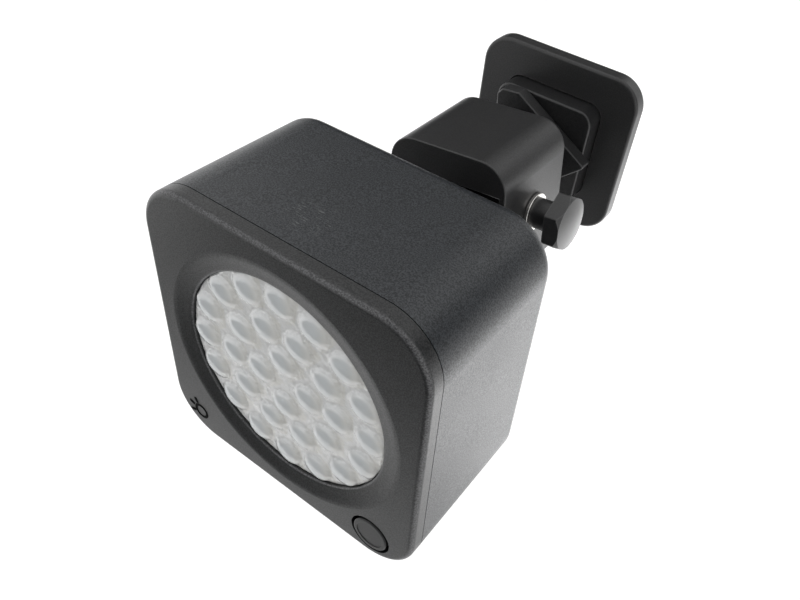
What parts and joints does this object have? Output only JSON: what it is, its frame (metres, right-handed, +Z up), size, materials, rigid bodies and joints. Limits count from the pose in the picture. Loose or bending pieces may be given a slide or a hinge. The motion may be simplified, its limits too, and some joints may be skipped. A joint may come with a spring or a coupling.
{
  "type": "swivelling wall flood light",
  "caption": "Square wall-mounted LED flood light on a short swivel arm, with a round lens array, a push-button and a hand-turned tilt clamp.",
  "frame": {"origin": "centre of the wall gasket's back face, on the wall plane and on the arm's swivel axis, at the mouth of the cable hole", "axes": "+Y into the wall, the light shines towards -Y, +Z up, +X to the right seen from in front"},
  "size_m": [0.1011, 0.1506, 0.1012],
  "materials": {
    "housing_plastic": "fine spark-textured dark grey ABS",
    "bezel_plastic": "fine spark-textured dark grey ABS",
    "button_plastic": "satin dark grey",
    "lens_clear": "clear moulded polycarbonate",
    "led_ceramic": "white ceramic package",
    "led_phosphor": "yellow silicone phosphor",
    "board_white": "white solder mask on an aluminium core",
    "board_green": "green solder mask on glass epoxy",
    "sink_aluminium": "as cast and machined",
    "arm_paint": "satin black powder coat",
    "base_paint": "satin black powder coat",
    "cover_plastic": "satin dark grey ABS",
    "knob_plastic": "satin black nylon",
    "nickel": "bright nickel plate",
    "steel": "zinc-plated steel",
    "seal_rubber": "black silicone rubber",
    "washer_nylon": "natural nylon",
    "component_black": "black epoxy",
    "component_can": "sleeved aluminium can",
    "terminal_green": "moulded green nylon",
    "lead_red": "PVC wire insulation"
  },
  "bodies": {
    "wall": {"wall_base": "base_paint", "cover_plate": "cover_plastic", "wall_gasket": "seal_rubber", "swivel_washer": "washer_nylon", "wave_washer": "steel"},
    "arm": {"arm_hood": "arm_paint", "turn_flange": "arm_paint", "swivel_spindle": "steel", "spindle_nut": "steel", "arm_screws": "steel", "clamp_nut": "nickel"},
    "clamp_screw": {"clamp_knob": "knob_plastic", "clamp_bolt": "nickel", "knob_washer": "nickel"},
    "lug": {"tilt_lug": "arm_paint", "friction_washers": "washer_nylon", "stem_seal": "seal_rubber", "stem_washer": "steel", "stem_nut": "steel"},
    "head": {"front_bezel": "bezel_plastic", "rear_housing": "housing_plastic", "housing_seal": "seal_rubber", "housing_screws": "steel", "bezel_screws": "steel", "lens_array": "lens_clear", "lens_gasket": "seal_rubber", "led_board": "board_white", "led_packages": "led_ceramic", "led_phosphors": "led_phosphor", "board_screws": "steel", "heat_sink": "sink_aluminium", "driver_board": "board_green", "driver_screws": "steel", "driver_capacitors": "component_can", "driver_inductor": "component_black", "driver_chips": "component_black", "terminal_block": "terminal_green", "led_leads": "lead_red", "button_leads": "lead_red", "button_seal": "seal_rubber", "tact_switch": "component_black", "button_board": "board_green"},
    "button": {"button_cap": "button_plastic"}
  },
  "joints": [
    {"name": "arm_swivel", "type": "hinge", "parent": "wall", "child": "arm", "pos_m": [0, 0, 0], "axis": [0, 1, 0], "range_deg": [-170, 170]},
    {"name": "head_tilt", "type": "hinge", "parent": "arm", "child": "lug", "pos_m": [0.00013, -0.0525, -0.00109], "axis": [0.9925, 0, 0.1219], "range_deg": [-12, 55]},
    {"name": "head_swivel", "type": "hinge", "parent": "lug", "child": "head", "pos_m": [0.00013, -0.0923, -0.00109], "axis": [0, 1, 0], "range_deg": [-90, 90]},
    {"name": "button_press", "type": "slide", "parent": "head", "child": "button", "axis": [0, 1, 0], "range_m": [0, 0.0008], "stiffness_N_per_m": 2500, "springref_m": -0.0002},
    {"name": "clamp_turn", "type": "hinge", "parent": "arm", "child": "clamp_screw", "pos_m": [0.00013, -0.0525, -0.00109], "axis": [0.9925, 0, 0.1219], "range_deg": [0, 720]}
  ]
}
